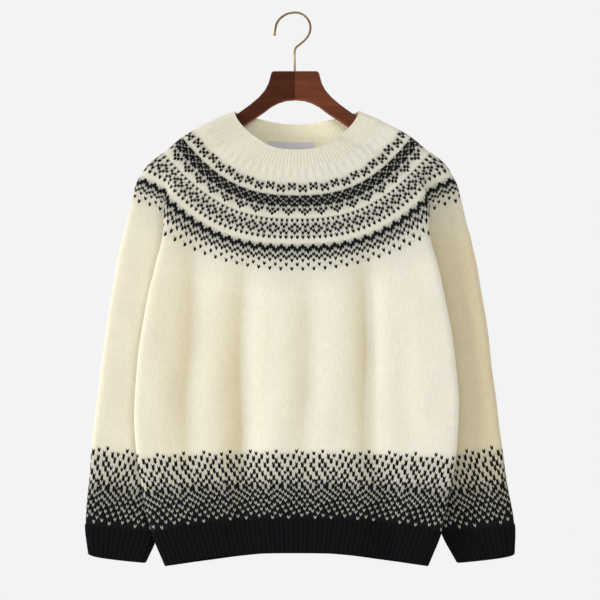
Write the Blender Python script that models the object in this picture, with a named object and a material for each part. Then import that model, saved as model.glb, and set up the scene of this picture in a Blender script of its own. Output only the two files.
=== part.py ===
"""Round-yoke knitted sweater hanging on a wooden hanger with a brass hook.

Metres, +Z up, front towards -Y. The origin is where the hook rests on a rail:
the highest point inside its bend. Tables are in millimetres, a row for each
round of the knitting, and every round is worked out from its row.
"""
import math
from collections import namedtuple

import bmesh
import bpy
import numpy as np

MM = 0.001

# Cloth
WALL = 2.4 * MM
SEAM_GAP = 0.4                 # in millimetres of drop, so at least 0.3 mm wherever it is measured
NECK_SEAM_GAP = 0.8            # wider, because the round turns sharply over the shoulder
BEND = 4.5 * MM                # how softly the cloth turns at a fold
GARMENT_X = 4.6 * MM           # middle of the sweater, right of the hook's seat
FINE = 4                       # points worked out for each one that is kept in a loft
TURN_SHARE = 0.475             # where the back leaves the sleeve, as a share of the outer width
TURN_LIFT = 0.734              # how far down the back's curve has come there
GUSSET_DIP = 4.0               # slack of the underarm between front and back
GUSSET_PART = 0.35             # body and sleeve each stand this far from the graft line

# Ribbing
RIB_HEIGHT = 1.3 * MM
HEM_RIBS = 120
CUFF_RIBS = 30
NECK_RIBS = 75
EDGE_BEAD = 0.9 * MM           # the bound-off edge stands proud of the neckband

# Hanger
HANGER_X = 2.8 * MM
BOARD = 13.0                   # thickness of the wood
BOW = 8.0                      # how far each arm's end comes forward
BOW_SPAN = 180.0
HALF_SEAM = 0.15 * MM          # each half stands this far from the glued joint
BOARD_ROUND = 4.0
HOOK_WIRE = 1.45 * MM
HOOK_LIFT = 0.3                # between the wood and the end of the wire

# Label
LABEL_HALF = 30.0
LABEL_X = -7.3
LABEL_TOP_DROP = 203.5
LABEL_BOTTOM_DROP = 222.0
LABEL_THICK = 1.0 * MM
LABEL_GAP = 0.3 * MM

# A round of the yoke. drop is how far the centre front lies below the hook's seat. The front
# runs to x_edge, folds back behind itself as far as x_fold, and comes out again as the sleeve
# to x_outer. Where x_fold is beyond x_edge there is no fold yet.
Round = namedtuple(
    "Round",
    "drop x_edge z_edge power x_fold z_fold sag x_outer z_outer z_back"
    " y_front y_edge y_under y_sleeve y_rear y_back",
)
YOKE = [
    Round(180.2, 42.0, -172.0, 2.8, 57.0, -162.0, 0.62, 82.5, -129.0, -146.2, -20, -18, -17, -12, 9, 16),
    Round(200.6, 68.0, -184.0, 2.6, 83.0, -173.2, 0.78, 110.9, -141.2, -168.0, -23, -20, -18, -14, 8, 16),
    Round(231.7, 103.0, -201.0, 2.6, 118.0, -187.9, 0.9, 143.9, -158.4, -200.6, -25, -21, -19, -16, 6, 16),
    Round(250.8, 122.0, -209.3, 2.6, 134.0, -197.9, 0.9, 158.4, -169.0, -221.1, -26, -22, -20, -17, 5, 16),
    Round(265.3, 140.0, -213.7, 2.6, 150.0, -204.0, 1.0, 170.3, -179.5, -236.3, -26, -22, -20, -18, 4, 16),
    Round(287.8, 162.0, -221.5, 2.6, 172.0, -211.0, 1.1, 194.7, -198.0, -260.0, -26, -22, -18, -16, 4, 16),
    Round(312.4, 174.9, -246.2, 2.6, 158.9, -250.8, 1.5, 211.2, -223.1, -286.4, -26, -21, -13, -7, 9, 16),
    Round(339.2, 176.9, -291.7, 2.2, 136.9, -286.4, 1.6, 218.5, -248.2, -315.5, -25, -19, -8, -1, 15, 16),
    Round(373.6, 186.1, -328.7, 2.0, 109.7, -333.8, 1.6, 231.0, -294.4, -355.1, -24, -17, -5, 2, 18, 15),
]

# A round of the body, from the underarm to the bottom of the hem rib. Behind the edge the cloth
# runs in to x_fold, steps back over step, and goes on as the back.
Course = namedtuple(
    "Course",
    "drop x_edge z_edge power x_fold step z_step z_back y_front y_edge y_under y_step y_back",
)
BODY = [
    Course(373.6, 186.1, -328.7, 2.0, 109.7, 0, -338.9, -355.1, -24, -17, -5, 17.1, 15),
    Course(405.2, 198.0, -378.8, 2.0, 116.5, 10, -385.0, -389.4, -23, -16, -5, 15, 14),
    Course(444.8, 207.2, -431.6, 2.0, 131.5, 20, -436.0, -434.3, -22, -15, -5, 12.5, 12),
    Course(510.8, 215.2, -510.8, 2.0, 143.5, 30, -509.0, -506.9, -21, -15, -4.5, 10, 10),
    Course(576.8, 211.9, -583.4, 2.4, 156.0, 36, -578.0, -574.2, -20, -14.5, -4, 9, 9),
    Course(629.6, 202.0, -641.5, 2.6, 160.0, 40, -634.0, -628.3, -19.5, -14, -4, 8, 8),
    Course(667.9, 192.0, -685.1, 2.6, 158.0, 40, -676.0, -667.9, -19, -14, -4, 7.5, 7),
    Course(713.6, 173.6, -731.3, 2.6, 142.0, 38, -722.0, -713.6, -18, -13, -4, 6.5, 6),
]
HEM_TOP_DROP = 667.9
HEM_BOTTOM_DROP = 713.6

# A round of a sleeve. drop is how far its inner edge lies below the hook's seat.
Sleeve = namedtuple("Sleeve", "drop x_inner x_outer z_outer sag tuck y_front y_back")
SLEEVE = [
    Sleeve(336.4, 109.7, 231.0, -294.4, 1.6, 2.6, 2, 18),
    Sleeve(376.2, 120.8, 241.6, -345.8, 1.4, 2, 2, 18),
    Sleeve(444.8, 136.0, 253.4, -421.0, 1.2, 1, 2, 18),
    Sleeve(510.8, 147.8, 262.0, -491.0, 1.1, 0, 2, 18),
    Sleeve(576.8, 161.0, 270.6, -561.0, 1.0, 0, 2, 18),
    Sleeve(629.6, 172.9, 274.6, -616.4, 0.9, 0, 2, 18),
    Sleeve(686.4, 182.8, 279.8, -675.2, 0.7, 0, 2, 19),
    Sleeve(727.5, 200.5, 275.5, -716.5, 0.6, 0, 2, 18),
]
CUFF_TOP_DROP = 686.4
CUFF_BOTTOM_DROP = 727.5
SWING = 13.0                   # how much further out the right cuff hangs than the left
SWING_FROM, SWING_TO = 560.0, 727.5

# Soft folds: a trough's middle runs from top to bottom. Its depth is how far the cloth falls back.
# Left of the middle it eases away over its width, and right of it steep times as fast.
Fold = namedtuple("Fold", "x_top z_top x_bottom z_bottom width depth steep")
FRONT_FOLDS = [
    Fold(-127, -262, -137, -640, 31, 6.8, 1.4),
    Fold(-60, -322, -66, -738, 28, 7.8, 2.4),
    Fold(25, -330, 20, -640, 26, 4.4, 1.5),
    Fold(100, -312, 104, -625, 26, 5.2, 2.8),
    Fold(102, -285, 110, -735, 15, 3.0, 0.25),
    Fold(120, -575, 127, -738, 13, 3.2, 1.0),
]
BACK_FOLDS = [
    Fold(-60, -320, -74, -735, 22, 4.4, 1.3),
    Fold(20, -390, 14, -735, 23, 3.2, 0.8),
    Fold(84, -330, 92, -705, 20, 4.3, 0.8),
]
FOLD_POWER = 1.5
FOLD_EASE = 0.6

YOKE_DROPS = (216, 231.7, 250.8, 265.3, 277, 289, 301, 313, 326, 340, 356, 373.6)
BODY_DROPS = (388, 404, 424, 446, 478, 511, 545, 577, 604, 632)
SLEEVE_DROPS = (352, 376, 408, 442, 477, 511, 545, 577, 604, 630, 658)

# A cross-section of one hanger arm, from the glued middle out to its tip.
Arm = namedtuple("Arm", "x z_top z_bottom")
ARM = [
    Arm(0, -77.1, -113.6),
    Arm(12, -77.1, -114.8),
    Arm(22, -77.1, -118.2),
    Arm(29, -77.2, -122.2),
    Arm(31.5, -79.0, -123.7),
    Arm(33.0, -84.5, -124.8),
    Arm(35.4, -92.5, -126.8),
    Arm(40.0, -101.2, -130.4),
    Arm(48.0, -110.5, -136.0),
    Arm(59.5, -120.3, -143.6),
    Arm(76.0, -132.2, -154.0),
    Arm(97.0, -140.4, -162.0),
    Arm(118.0, -149.2, -170.0),
    Arm(138.0, -159.8, -178.5),
    Arm(156.0, -172.8, -189.5),
    Arm(166.0, -181.5, -195.5),
    Arm(171.0, -187.0, -195.5),
]

# The hook's middle line, from the wood up over the bend to the tip.
HOOK_ROUTE = [
    (2.2, ARM[0].z_top + HOOK_LIFT), (2.1, -62.0), (2.0, -51.0), (3.6, -45.3), (8.6, -40.8), (15.6, -34.8),
    (20.9, -27.6), (23.0, -19.3), (21.4, -10.4), (15.4, -2.6), (7.4, 1.3), (-0.4, 1.5),
    (-8.6, -0.4), (-16.4, -5.6), (-21.4, -12.2), (-23.4, -19.6), (-24.3, -26.0),
]


def row_at(table, drop):
    """The table's row at any drop, smooth between its rows."""
    drops = [row[0] for row in table]
    upper = sum(1 for value in drops[1:-1] if value <= drop)
    span = drops[upper + 1] - drops[upper]
    along = (drop - drops[upper]) / span
    values = []
    for column in zip(*table):
        slopes = []
        for place in (upper, upper + 1):
            before = max(place - 1, 0)
            after = min(place + 1, len(table) - 1)
            slopes.append((column[after] - column[before]) / (drops[after] - drops[before]))
        start, end = column[upper], column[upper + 1]
        rise = end - start
        first = span * slopes[0]
        second = span * slopes[1]
        values.append(
            start
            + first * along
            + (3 * rise - 2 * first - second) * along**2
            + (first + second - 2 * rise) * along**3
        )
    return type(table[0])(*values)


def trough(folds, x, z):
    """How far the soft folds push the cloth back at a place."""
    depth = 0.0
    for fold in folds:
        down = (fold.z_top - z) / (fold.z_top - fold.z_bottom)
        if 0 < down < 1:
            middle = fold.x_top + (fold.x_bottom - fold.x_top) * down
            across = (middle - x) / fold.width
            if across < 0:
                across *= -fold.steep
            swell = math.sin(math.pi * down) ** FOLD_EASE
            depth += fold.depth * swell * math.exp(-(across**FOLD_POWER))
    return depth


def front_line(row, z_front, side, count):
    """From the centre front to the edge of the front."""
    points = []
    for step in range(count):
        share = step / count
        z = row.z_edge + (z_front - row.z_edge) * (1 - share**row.power)
        y = row.y_front + (row.y_edge - row.y_front) * share**2
        x = side * row.x_edge * share
        y += trough(FRONT_FOLDS, x, z) * (1 - share**8)
        points.append((x, y, z))
    return points


def back_line(x_turn, y_turn, z_turn, row, side, count):
    """From the turn behind the sleeve to the centre back."""
    points = []
    for step in range(count):
        share = 1 - step / count
        z = row.z_back + (z_turn - row.z_back) * share**2
        y = row.y_back + (y_turn - row.y_back) * share**2
        x = side * x_turn * share
        y -= trough(BACK_FOLDS, x, z) * (1 - share**6)
        points.append((x, y, z))
    return points


def straight(start, end, count):
    """Points from start up to end, without end."""
    return [
        tuple(a + (b - a) * step / count for a, b in zip(start, end)) for step in range(count)
    ]


def sleeve_line(start, end, sag, count):
    """Across a sleeve from its inner side to its outer one, hanging by sag."""
    points = []
    for step in range(count):
        share = step / count
        x = start[0] + (end[0] - start[0]) * share
        y = start[1] + (end[1] - start[1]) * share
        z = end[2] + (start[2] - end[2]) * (1 - share) ** sag
        points.append((x, y, z))
    return points


def yoke_half(drop, side):
    """One half of a yoke round, from the centre front to the centre back."""
    row = row_at(YOKE, drop)
    edge = (side * row.x_edge, row.y_edge, row.z_edge)
    edge_under = (side * row.x_edge, row.y_under, row.z_edge)
    fold = (side * row.x_fold, row.y_under, row.z_fold)
    if row.x_fold > row.x_edge:
        lead = (row.x_fold - row.x_edge) / 3
        edge_under = (side * (row.x_edge + lead), row.y_under, row.z_edge * 0.67 + row.z_fold * 0.33)
        fold = (side * (row.x_edge + 2 * lead), row.y_under, row.z_edge * 0.33 + row.z_fold * 0.67)
    sleeve = (side * row.x_fold, row.y_sleeve, row.z_fold)
    outer = (side * row.x_outer, row.y_sleeve, row.z_outer)
    outer_back = (side * row.x_outer, row.y_rear, row.z_outer)
    x_turn = TURN_SHARE * row.x_outer
    y_turn = row.y_rear + (row.y_back - row.y_rear) * 0.3
    z_turn = row.z_outer + TURN_LIFT * (row.z_back - row.z_outer)
    turn = (side * x_turn, y_turn, z_turn)
    points = front_line(row, -drop, side, 14 * FINE)
    points += straight(edge, edge_under, 2 * FINE)
    points += straight(edge_under, fold, 3 * FINE)
    points += straight(fold, sleeve, 2 * FINE)
    points += sleeve_line(sleeve, outer, row.sag, 5 * FINE)
    points += straight(outer, outer_back, 3 * FINE)
    points += rear_line(outer_back, turn, 5 * FINE)
    points += back_line(x_turn, y_turn, z_turn, row, side, 5 * FINE)
    return points + [(0.0, row.y_back - trough(BACK_FOLDS, 0.0, row.z_back), row.z_back)]


def rear_line(start, end, count):
    """From a sleeve's outer side along its back."""
    points = []
    for step in range(count):
        share = step / count
        x = start[0] + (end[0] - start[0]) * share
        y = start[1] + (end[1] - start[1]) * share
        z = start[2] + (end[2] - start[2]) * share**0.85
        points.append((x, y, z))
    return points


def body_half(drop, side):
    """One half of a body round, from the centre front to the centre back."""
    row = row_at(BODY, drop)
    slack = max(0.0, 1 - (drop - BODY[0].drop) / 30)
    x_fold = row.x_fold - GUSSET_PART
    x_step = x_fold - row.step
    z_fold = (row.z_edge + row.z_step) / 2
    edge = (side * row.x_edge, row.y_edge, row.z_edge)
    edge_under = (side * row.x_edge, row.y_under, row.z_edge)
    fold = (side * x_fold, row.y_under, z_fold)
    turn = (side * x_step, row.y_step, row.z_step)
    middle = [(a + b) / 2 for a, b in zip(fold, turn)]
    middle[2] -= GUSSET_DIP * slack
    points = front_line(row, -drop, side, 14 * FINE)
    points += straight(edge, edge_under, 2 * FINE)
    points += straight(edge_under, fold, 4 * FINE)
    points += straight(fold, middle, 2 * FINE)
    points += straight(middle, turn, 2 * FINE)
    points += back_line(x_step, row.y_step, row.z_step, row, side, 6 * FINE)
    return points + [(0.0, row.y_back - trough(BACK_FOLDS, 0.0, row.z_back), row.z_back)]


def sleeve_loop(drop, side):
    """A whole sleeve round, from the front of its inner edge outwards and back."""
    row = row_at(SLEEVE, drop)
    swing = 0.0
    if side > 0 and drop > SWING_FROM:
        swing = SWING * ((drop - SWING_FROM) / (SWING_TO - SWING_FROM)) ** 1.3
    slack = max(0.0, 1 - (drop - SLEEVE[0].drop) / 30)
    x_inner = row.x_inner + GUSSET_PART + swing
    x_outer = row.x_outer + swing
    front = (side * x_inner, row.y_front, -drop + row.tuck)
    outer = (side * x_outer, row.y_front, row.z_outer)
    outer_back = (side * x_outer, row.y_back, row.z_outer)
    back = (side * x_inner, row.y_back, -drop - row.tuck)
    middle = [(a + b) / 2 for a, b in zip(front, back)]
    middle[2] -= GUSSET_DIP * slack
    points = sleeve_line(front, outer, row.sag, 6 * FINE)
    points += straight(outer, outer_back, 3 * FINE)
    points += rear_line(outer_back, back, 6 * FINE)
    points += straight(back, middle, 2 * FINE)
    points += straight(middle, front, 2 * FINE)
    if side < 0:
        points = [points[0]] + points[:0:-1]
    return points


def soften(points):
    """A closed line, in metres, with its corners rounded as thick cloth rounds them."""
    line = np.array(points) * MM
    line[:, 0] += GARMENT_X
    ahead = np.linalg.norm(np.roll(line, -1, axis=0) - line, axis=1)
    share = (ahead + np.roll(ahead, 1)) / 2
    place = np.concatenate([[0.0], np.cumsum(ahead)[:-1]])
    apart = np.abs(place[:, None] - place[None, :])
    apart = np.minimum(apart, ahead.sum() - apart)
    weight = np.exp(-0.5 * (apart / BEND) ** 2) * share[None, :]
    return weight @ line / weight.sum(axis=1)[:, None]


def whole_round(half, drop):
    """Both halves of a round as one closed line, starting at the centre front."""
    right = half(drop, 1)
    left = half(drop, -1)
    return soften(right + left[-2:0:-1])


def yoke_round(drop):
    return whole_round(yoke_half, drop)


def body_round(drop):
    return whole_round(body_half, drop)


def sleeve_round(side):
    return lambda drop: soften(sleeve_loop(drop, side))


def outward(surface, drop, level, reach):
    """The direction out of the cloth at each point of a round."""
    line = surface(drop)
    around = np.roll(line, -1, axis=0) - np.roll(line, 1, axis=0)
    if level:
        down = np.tile([0.0, 0.0, -1.0], (len(line), 1))
    else:
        low, high = reach
        down = surface(min(drop + 1.5, high)) - surface(max(drop - 1.5, low))
    out = np.cross(down, around)
    return out / np.linalg.norm(out, axis=1)[:, None]


def even_points(line, extra, count):
    """A closed line and what belongs to it, at even distances."""
    closed = np.vstack([line, line[:1]])
    more = np.vstack([extra, extra[:1]])
    place = np.concatenate([[0.0], np.cumsum(np.linalg.norm(np.diff(closed, axis=0), axis=1))])
    wanted = np.arange(count) * place[-1] / count
    even = [np.interp(wanted, place, closed[:, axis]) for axis in range(3)]
    also = [np.interp(wanted, place, more[:, axis]) for axis in range(3)]
    return np.stack(even, axis=1), np.stack(also, axis=1)


def wall_rings(surface, drops, reach, level_at=None, ribs=0, proud=None):
    """Outer and inner rings of a cloth wall at these drops, raised in ribs if it has any."""
    outer, inner = [], []
    for number, drop in enumerate(drops):
        line = surface(drop)
        out = outward(surface, drop, level_at is not None and abs(drop - level_at) < 1, reach)
        if ribs:
            line, out = even_points(line, out, 2 * ribs)
            raised = np.where(np.arange(2 * ribs) % 2 == 0, RIB_HEIGHT, 0.0)
            height = proud[number]
            raised = np.full(2 * ribs, height) if height else raised
            outer.append(line + out * raised[:, None])
        else:
            line, out = line[::FINE], out[::FINE]
            outer.append(line)
        inner.append(line - out * WALL)
    return outer, inner


def material(name, colour, roughness, metallic=0.0):
    made = bpy.data.materials.new(name)
    made.use_nodes = True
    made.diffuse_color = (*colour, 1.0)
    shader = made.node_tree.nodes["Principled BSDF"]
    shader.inputs["Base Color"].default_value = (*colour, 1.0)
    shader.inputs["Roughness"].default_value = roughness
    shader.inputs["Metallic"].default_value = metallic
    return made


def add_object(name, vertices, faces, finish):
    """A mesh object in the sweater's collection, smooth but for its sharp edges."""
    mesh = bpy.data.meshes.new(name)
    mesh.from_pydata([tuple(point) for point in vertices], [], faces)
    mesh.materials.append(finish)
    mesh.shade_smooth()
    mesh.set_sharp_from_angle(angle=math.radians(50))
    made = bpy.data.objects.new(name, mesh)
    bpy.data.collections["nordic_sweater"].objects.link(made)
    return made


def add_wall(name, outer, inner, finish):
    """A closed wall of cloth between outer rings and inner rings, from the top down."""
    count = len(outer[0])
    levels = len(outer)
    vertices = np.vstack(outer + inner)
    start = count * levels
    faces = []
    for level in range(levels - 1):
        for place in range(count):
            after = (place + 1) % count
            a, b = level * count + place, level * count + after
            c, d = b + count, a + count
            faces.append((a, d, c, b))
            faces.append((start + a, start + b, start + c, start + d))
    last = count * (levels - 1)
    for place in range(count):
        after = (place + 1) % count
        faces.append((place, after, start + after, start + place))
        faces.append((last + after, last + place, start + last + place, start + last + after))
    return add_object(name, vertices, faces, finish)


def add_cloth(cream, black):
    """The knitted pieces, from the neck down."""
    yoke_reach = (YOKE[0].drop, YOKE[-1].drop)
    body_reach = (BODY[0].drop, BODY[-1].drop)
    sleeve_reach = (SLEEVE[0].drop, SLEEVE[-1].drop)
    neck_top, neck_bottom = YOKE[0].drop, YOKE[1].drop
    underarm = YOKE[-1].drop

    drops = (neck_top, neck_top + 2.2, neck_bottom)
    rings = wall_rings(yoke_round, drops, yoke_reach, ribs=NECK_RIBS, proud=(EDGE_BEAD, 0, 0))
    add_wall("neckband", *rings, cream)

    drops = (neck_bottom + NECK_SEAM_GAP,) + YOKE_DROPS
    add_wall("yoke", *wall_rings(yoke_round, drops, yoke_reach, underarm), cream)

    drops = (underarm + SEAM_GAP,) + BODY_DROPS + (HEM_TOP_DROP,)
    add_wall("body", *wall_rings(body_round, drops, body_reach, underarm + SEAM_GAP), cream)

    drops = (HEM_TOP_DROP + SEAM_GAP, HEM_BOTTOM_DROP)
    rings = wall_rings(body_round, drops, body_reach, ribs=HEM_RIBS, proud=(0, 0))
    add_wall("hem_rib", *rings, black)

    for side, word in ((-1, "left"), (1, "right")):
        surface = sleeve_round(side)
        top = SLEEVE[0].drop + SEAM_GAP
        drops = (top,) + SLEEVE_DROPS + (CUFF_TOP_DROP,)
        rings = wall_rings(surface, drops, sleeve_reach, top)
        add_wall("sleeve_" + word, *rings, cream)
        drops = (CUFF_TOP_DROP + SEAM_GAP, 707.0, CUFF_BOTTOM_DROP)
        rings = wall_rings(surface, drops, sleeve_reach, ribs=CUFF_RIBS, proud=(0, 0, 0))
        add_wall("cuff_" + word, *rings, black)


def inside_back(drop, x):
    """A point on the inner face of the back yoke and the direction into the sweater there."""
    line = yoke_round(drop)
    out = outward(yoke_round, drop, False, (YOKE[0].drop, YOKE[-1].drop))
    middle = len(line) // 2
    near = slice(middle - 9 * FINE, middle + 9 * FINE)
    order = np.argsort(line[near, 0])
    sideways = line[near, 0][order]
    wanted = x * MM + GARMENT_X
    point = np.array([np.interp(wanted, sideways, line[near, axis][order]) for axis in range(3)])
    away = np.array([np.interp(wanted, sideways, out[near, axis][order]) for axis in range(3)])
    away /= np.linalg.norm(away)
    return point - away * WALL, -away


def add_label(finish):
    """The bare woven label, sewn below the neckband on the inside of the back."""
    columns, rows = 7, 3
    back, front = [], []
    for row in range(rows):
        drop = LABEL_TOP_DROP + (LABEL_BOTTOM_DROP - LABEL_TOP_DROP) * row / (rows - 1)
        for column in range(columns):
            x = LABEL_X - LABEL_HALF + 2 * LABEL_HALF * column / (columns - 1)
            point, inwards = inside_back(drop, x)
            back.append(point + inwards * LABEL_GAP)
            front.append(point + inwards * (LABEL_GAP + LABEL_THICK))
    total = rows * columns
    faces = []
    for row in range(rows - 1):
        for column in range(columns - 1):
            a = row * columns + column
            b, c, d = a + 1, a + columns + 1, a + columns
            faces.append((total + a, total + d, total + c, total + b))
            faces.append((a, b, c, d))
    rim = [*range(columns)]
    rim += [row * columns + columns - 1 for row in range(1, rows)]
    rim += [(rows - 1) * columns + column for column in range(columns - 2, -1, -1)]
    rim += [row * columns for row in range(rows - 2, 0, -1)]
    for place, a in enumerate(rim):
        b = rim[(place + 1) % len(rim)]
        faces.append((a, total + a, total + b, b))
    return add_object("neck_label", back + front, faces, finish)


def arm_section(arm, side):
    """A rounded rectangle across an arm, in metres."""
    middle_y = -BOW * (arm.x / BOW_SPAN) ** 2
    middle_z = (arm.z_top + arm.z_bottom) / 2
    half_y = BOARD / 2
    half_z = (arm.z_top - arm.z_bottom) / 2
    soft = min(BOARD_ROUND, half_z)
    points = []
    for corner, (way_y, way_z) in enumerate(((1, 1), (-1, 1), (-1, -1), (1, -1))):
        for step in range(3):
            turn = math.radians(90 * corner + 45 * step)
            y = middle_y + way_y * (half_y - soft) + soft * math.cos(turn)
            z = middle_z + way_z * (half_z - soft) + soft * math.sin(turn)
            x = side * arm.x * MM + HANGER_X
            points.append((x + (side * HALF_SEAM if arm.x == 0 else 0), y * MM, z * MM))
    return points


def add_hanger_half(name, side, finish):
    """One shaped half of the hanger, from the glued middle to its rounded tip."""
    sections = [arm_section(arm, side) for arm in ARM]
    count = len(sections[0])
    vertices = [point for section in sections for point in section]
    faces = []
    for level in range(len(sections) - 1):
        for place in range(count):
            after = (place + 1) % count
            a, b = level * count + place, level * count + after
            faces.append((a, b, b + count, a + count))
    last = count * (len(sections) - 1)
    faces.append(tuple(range(count))[::-1])
    faces.append(tuple(range(last, last + count)))
    if side < 0:
        faces = [face[::-1] for face in faces]
    return add_object(name, vertices, faces, finish)


def curve_through(route, steps):
    """A smooth line through these points, with this many steps between two of them."""
    points = []
    last = len(route) - 1
    for place in range(last):
        p0, p1 = route[max(place - 1, 0)], route[place]
        p2, p3 = route[place + 1], route[min(place + 2, last)]
        for step in range(steps):
            t = step / steps
            points.append(
                tuple(
                    0.5 * (2 * b + (c - a) * t + (2 * a - 5 * b + 4 * c - d) * t**2
                           + (3 * b - a - 3 * c + d) * t**3)
                    for a, b, c, d in zip(p0, p1, p2, p3)
                )
            )
    return points + [route[-1]]


def add_hook(finish):
    """The wire hook with a ball at its tip, as a bevelled curve made into a mesh."""
    points = curve_through(HOOK_ROUTE, 2)
    curve = bpy.data.curves.new("hook_line", "CURVE")
    curve.dimensions = "3D"
    curve.bevel_depth = HOOK_WIRE
    curve.bevel_resolution = 3
    curve.use_fill_caps = True
    tip = np.array(points[-1])
    way = tip - np.array(points[-2])
    way /= np.linalg.norm(way)
    ball = [(0.6, 1.15), (1.6, 1.4), (2.6, 1.15), (3.1, 0.6)]
    thick = [1.0] * len(points) + [swell for _, swell in ball]
    points += [tuple(tip + way * far) for far, _ in ball]
    spline = curve.splines.new("POLY")
    spline.points.add(len(points) - 1)
    for knot, (x, z), radius in zip(spline.points, points, thick):
        knot.co = (x * MM, 0.0, z * MM, 1.0)
        knot.radius = radius
    line = bpy.data.objects.new("hook_line", curve)
    bpy.data.collections["nordic_sweater"].objects.link(line)
    ready = line.evaluated_get(bpy.context.evaluated_depsgraph_get())
    mesh = bpy.data.meshes.new_from_object(ready)
    mesh.name = "hook"
    welded = bmesh.new()
    welded.from_mesh(mesh)
    bmesh.ops.remove_doubles(welded, verts=welded.verts, dist=0.00001)
    bmesh.ops.recalc_face_normals(welded, faces=welded.faces)
    welded.to_mesh(mesh)
    welded.free()
    mesh.materials.clear()
    mesh.materials.append(finish)
    mesh.shade_smooth()
    made = bpy.data.objects.new("hook", mesh)
    made.matrix_world = line.matrix_world
    bpy.data.collections["nordic_sweater"].objects.link(made)
    bpy.data.objects.remove(line)
    return made


def main():
    for old in list(bpy.data.objects):
        bpy.data.objects.remove(old)
    sweater = bpy.data.collections.new("nordic_sweater")
    bpy.context.scene.collection.children.link(sweater)
    cream = material("cream_wool", (0.80, 0.76, 0.62), 0.95)
    black = material("black_wool", (0.012, 0.014, 0.017), 0.95)
    label = material("woven_label", (0.55, 0.55, 0.60), 0.7)
    dark_wood = material("dark_wood", (0.075, 0.022, 0.012), 0.45)
    red_wood = material("red_wood", (0.12, 0.035, 0.02), 0.45)
    brass = material("aged_brass", (0.42, 0.28, 0.12), 0.38, 0.9)
    add_cloth(cream, black)
    add_label(label)
    add_hanger_half("hanger_left", -1, dark_wood)
    add_hanger_half("hanger_right", 1, red_wood)
    add_hook(brass)


main()
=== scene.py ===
import math
from collections import namedtuple

import bpy
import numpy as np
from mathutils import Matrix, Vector


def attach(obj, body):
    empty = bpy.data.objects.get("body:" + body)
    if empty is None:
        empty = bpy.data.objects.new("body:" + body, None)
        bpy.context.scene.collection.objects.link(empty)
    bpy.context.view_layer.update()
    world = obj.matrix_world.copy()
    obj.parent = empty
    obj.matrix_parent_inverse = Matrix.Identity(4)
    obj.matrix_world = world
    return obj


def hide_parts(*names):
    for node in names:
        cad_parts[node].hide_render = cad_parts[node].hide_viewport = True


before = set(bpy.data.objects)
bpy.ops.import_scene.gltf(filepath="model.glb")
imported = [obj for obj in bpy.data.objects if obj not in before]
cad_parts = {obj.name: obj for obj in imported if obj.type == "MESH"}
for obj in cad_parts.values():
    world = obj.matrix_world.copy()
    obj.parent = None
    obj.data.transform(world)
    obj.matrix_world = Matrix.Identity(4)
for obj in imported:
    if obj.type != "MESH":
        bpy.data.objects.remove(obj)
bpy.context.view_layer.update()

mm = 0.001

# The cloth's shape. Tables are in millimetres, one row for each round, as the solids have them.
cloth = {
    "wall": 2.4 * mm,
    "bend": 4.5 * mm,  # how softly the cloth turns at a fold
    "middleX": 4.6 * mm,
    "fine": 4,  # points for each step of a round
    "frontSteps": 14,  # steps across half the front
    "sideStep": 26,  # the step where a yoke round reaches its outer side
    "turnShare": 0.475,  # where the back turns up to the shoulder
    "turnLift": 0.734,
    "gussetDip": 4.0,  # how far the underarm dips, mm
    "gussetPart": 0.35,  # gap between body and sleeve, mm
    "swing": 13.0,  # how much further out the right cuff hangs
    "swingFrom": 560.0,
    "swingTo": 727.5,
    "stitch": 3.62,  # width of a stitch, mm
    "course": 2.785,  # height of a round of knitting, mm
    "sleeveHollow": 0.55,  # how much of their depth the sleeves' folds have
    "hiddenShare": 0.15,  # how much the hidden part of a yoke round counts for the stitches
    "outerWale": 0.262,  # how far round the sleeve's outer side is
    "measured": (450, 550),  # rounds whose length is measured too, besides a piece's ends
}

# Painted shade on the wool, from 0 to 1: a darker, yellower wool laid into the troughs, on the body's
# front towards its left and on the sleeves' shaded sides. Lengths are in mm.
paintedShading = {
    "plain": 0.1,
    "inside": 1.5,  # above insideFrom it marks the cloth's inside, which gets painted light
    "insideFrom": 1.2,
    "aside": 13.0,  # the painted shade lies this far left of a trough's middle
    "sharper": 4.0,
    "fullDepth": 9.0,  # a trough this deep gets the full painted shade
    "bodyEnd": 50.0,  # the body gets more painted shade from here to its left
    "bodySpan": 1100.0,
    "bodyMost": 0.25,
    "sleeveTop": 200.0,  # the sleeves' own painted shade starts this far down
    "sleeveSpan": 110.0,
    # painted shade on the front of each sleeve: the right one, which lies in shade, gets most
    "left": 0.3,
    "right": 0.88,
    "behind": 0.25,
    "frontFrom": -13.0,  # the yoke's sleeve parts lie behind this in front
    "frontEase": 5.0,
    "backFrom": 100.0,  # and further out than this at the back
    "backEase": 30.0,
}

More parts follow.
